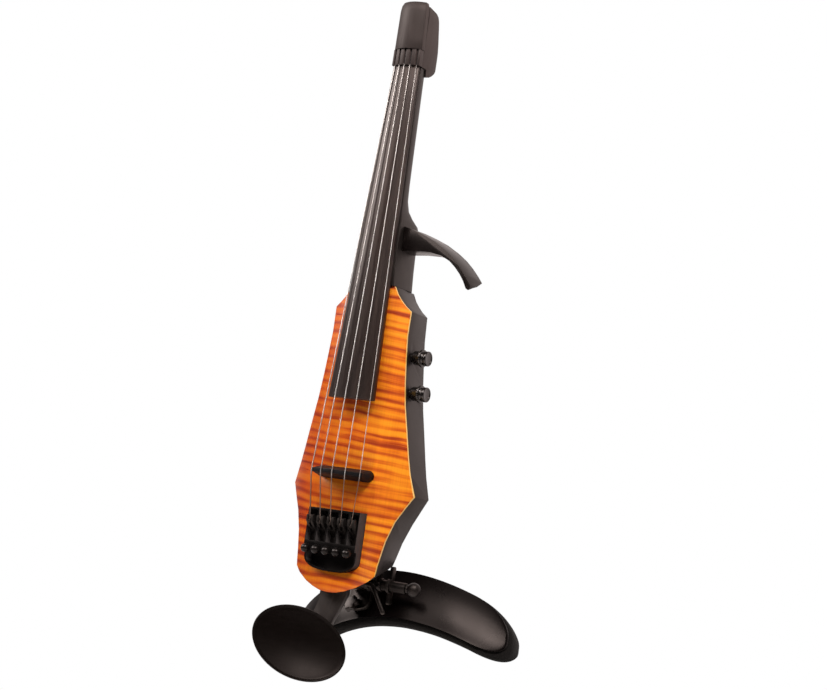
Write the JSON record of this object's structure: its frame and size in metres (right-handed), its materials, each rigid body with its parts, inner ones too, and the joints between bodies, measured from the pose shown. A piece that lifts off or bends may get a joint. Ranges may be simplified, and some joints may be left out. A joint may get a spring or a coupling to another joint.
{
  "type": "electric violin",
  "caption": "Headless solid-body electric violin with figured amber top, tail-end tuners, side controls, thumb stop, chin rest and hinged shoulder rest.",
  "frame": {"origin": "on the flat back face of the body, on the centre line, level with the bridge", "axes": "+Z along the instrument towards the head, +X to the treble side, +Y out of the back"},
  "size_m": [0.2008, 0.139, 0.542],
  "materials": {
    "figured_maple": "high gloss over amber stained flamed maple",
    "satin_lacquer": "satin black lacquer over wood",
    "fingerboard_wood": "satin, dark close-grained wood",
    "gloss_black": "gloss",
    "satin_plastic": "satin, fine texture",
    "black_hardware": "satin black",
    "string_steel": "wound",
    "steel": "machined",
    "foam": "matt closed-cell foam",
    "circuit": "solder mask",
    "ceramic": "fired"
  },
  "bodies": {
    "instrument": {"top_plate": "figured_maple", "body": "satin_lacquer", "neck": "satin_lacquer", "thumb_stop": "satin_lacquer", "fingerboard": "fingerboard_wood", "string_comb": "gloss_black", "bridge": "gloss_black", "tuner_housing": "gloss_black", "head_block": "satin_plastic", "head_cap": "satin_plastic", "cavity_cover": "satin_plastic", "head_screw_1": "black_hardware", "head_screw_2": "black_hardware", "output_jack": "black_hardware", "rest_bracket": "black_hardware", "bracket_screw_1": "black_hardware", "bracket_screw_2": "black_hardware", "chin_rest_screw": "black_hardware", "cover_screw_1": "black_hardware", "cover_screw_2": "black_hardware", "cover_screw_3": "black_hardware", "cover_screw_4": "black_hardware", "string_1": "string_steel", "string_2": "string_steel", "string_3": "string_steel", "string_4": "string_steel", "string_5": "string_steel", "string_lock_bar": "steel", "claw_pin": "steel", "volume_pot": "steel", "tone_pot": "steel", "thumb_stop_pin_1": "steel", "thumb_stop_pin_2": "steel", "preamp_board": "circuit", "piezo_pickup": "ceramic"},
    "tuner_knob_1": {"tuner_knob_1": "gloss_black"},
    "tuner_knob_2": {"tuner_knob_2": "gloss_black"},
    "tuner_knob_3": {"tuner_knob_3": "gloss_black"},
    "tuner_knob_4": {"tuner_knob_4": "gloss_black"},
    "tuner_knob_5": {"tuner_knob_5": "gloss_black"},
    "claw_1": {"string_claw_1": "black_hardware"},
    "claw_2": {"string_claw_2": "black_hardware"},
    "claw_3": {"string_claw_3": "black_hardware"},
    "claw_4": {"string_claw_4": "black_hardware"},
    "claw_5": {"string_claw_5": "black_hardware"},
    "volume_control": {"volume_knob": "satin_plastic"},
    "tone_control": {"tone_knob": "satin_plastic"},
    "shoulder_rest": {"tilt_bar": "black_hardware", "collar_screw": "black_hardware", "bar_grip_strip": "black_hardware", "rest_link": "black_hardware", "shoulder_rest_plate": "satin_plastic", "shoulder_rest_pad": "foam"},
    "tilt_clamp": {"clamp_knob": "gloss_black"},
    "tilt_lever": {"clamp_lever": "black_hardware"},
    "plate_screw": {"rest_thumb_screw": "satin_plastic"},
    "chin_rest": {"chin_rest_arm": "satin_lacquer", "chin_rest_cup": "satin_plastic"}
  },
  "joints": [
    {"name": "tuner_turn_1", "type": "hinge", "parent": "instrument", "child": "tuner_knob_1", "pos_m": [-0.019, -0.0447, -0.0602], "axis": [0, 0.8988, 0.4384], "range_deg": [0, 720]},
    {"name": "claw_pull_1", "type": "hinge", "parent": "instrument", "child": "claw_1", "pos_m": [-0.019, -0.036, -0.044], "axis": [1, 0, 0], "range_deg": [0, 6]},
    {"name": "tuner_turn_2", "type": "hinge", "parent": "instrument", "child": "tuner_knob_2", "pos_m": [-0.0095, -0.0447, -0.0602], "axis": [0, 0.8988, 0.4384], "range_deg": [0, 720]},
    {"name": "claw_pull_2", "type": "hinge", "parent": "instrument", "child": "claw_2", "pos_m": [-0.0095, -0.036, -0.044], "axis": [1, 0, 0], "range_deg": [0, 6]},
    {"name": "tuner_turn_3", "type": "hinge", "parent": "instrument", "child": "tuner_knob_3", "pos_m": [0, -0.0447, -0.0602], "axis": [0, 0.8988, 0.4384], "range_deg": [0, 720]},
    {"name": "claw_pull_3", "type": "hinge", "parent": "instrument", "child": "claw_3", "pos_m": [0, -0.036, -0.044], "axis": [1, 0, 0], "range_deg": [0, 6]},
    {"name": "tuner_turn_4", "type": "hinge", "parent": "instrument", "child": "tuner_knob_4", "pos_m": [0.0095, -0.0447, -0.0602], "axis": [0, 0.8988, 0.4384], "range_deg": [0, 720]},
    {"name": "claw_pull_4", "type": "hinge", "parent": "instrument", "child": "claw_4", "pos_m": [0.0095, -0.036, -0.044], "axis": [1, 0, 0], "range_deg": [0, 6]},
    {"name": "tuner_turn_5", "type": "hinge", "parent": "instrument", "child": "tuner_knob_5", "pos_m": [0.019, -0.0447, -0.0602], "axis": [0, 0.8988, 0.4384], "range_deg": [0, 720]},
    {"name": "claw_pull_5", "type": "hinge", "parent": "instrument", "child": "claw_5", "pos_m": [0.019, -0.036, -0.044], "axis": [1, 0, 0], "range_deg": [0, 6]},
    {"name": "volume_turn", "type": "hinge", "parent": "instrument", "child": "volume_control", "pos_m": [0.045, -0.0175, 0.097], "axis": [1, 0, 0], "range_deg": [-150, 150]},
    {"name": "tone_turn", "type": "hinge", "parent": "instrument", "child": "tone_control", "pos_m": [0.045, -0.0175, 0.0689], "axis": [1, 0, 0], "range_deg": [-150, 150]},
    {"name": "rest_tilt", "type": "hinge", "parent": "instrument", "child": "shoulder_rest", "pos_m": [0, 0.0062, -0.0815], "axis": [1, 0, 0], "range_deg": [-12, 15]},
    {"name": "tilt_clamp_turn", "type": "hinge", "parent": "shoulder_rest", "child": "tilt_clamp", "pos_m": [0.05, 0.0062, -0.0815], "axis": [1, 0, 0], "range_deg": [0, 360]},
    {"name": "tilt_lever_turn", "type": "hinge", "parent": "shoulder_rest", "child": "tilt_lever", "pos_m": [0.0123, 0.0062, -0.0815], "axis": [1, 0, 0], "range_deg": [-2, 20]},
    {"name": "plate_screw_turn", "type": "hinge", "parent": "shoulder_rest", "child": "plate_screw", "pos_m": [-0.0015, 0.00646, -0.10002], "axis": [0.1094, 0.9063, -0.4082], "range_deg": [0, 360]},
    {"name": "chin_rest_swing", "type": "hinge", "parent": "instrument", "child": "chin_rest", "pos_m": [0, -0.0237, -0.072], "axis": [0, 1, 0], "range_deg": [-8, 8]}
  ],
  "couplings": [
    {"joint": "claw_pull_1", "follows": "tuner_turn_1", "ratio": 0.007958},
    {"joint": "claw_pull_2", "follows": "tuner_turn_2", "ratio": 0.007958},
    {"joint": "claw_pull_3", "follows": "tuner_turn_3", "ratio": 0.007958},
    {"joint": "claw_pull_4", "follows": "tuner_turn_4", "ratio": 0.007958},
    {"joint": "claw_pull_5", "follows": "tuner_turn_5", "ratio": 0.007958}
  ]
}
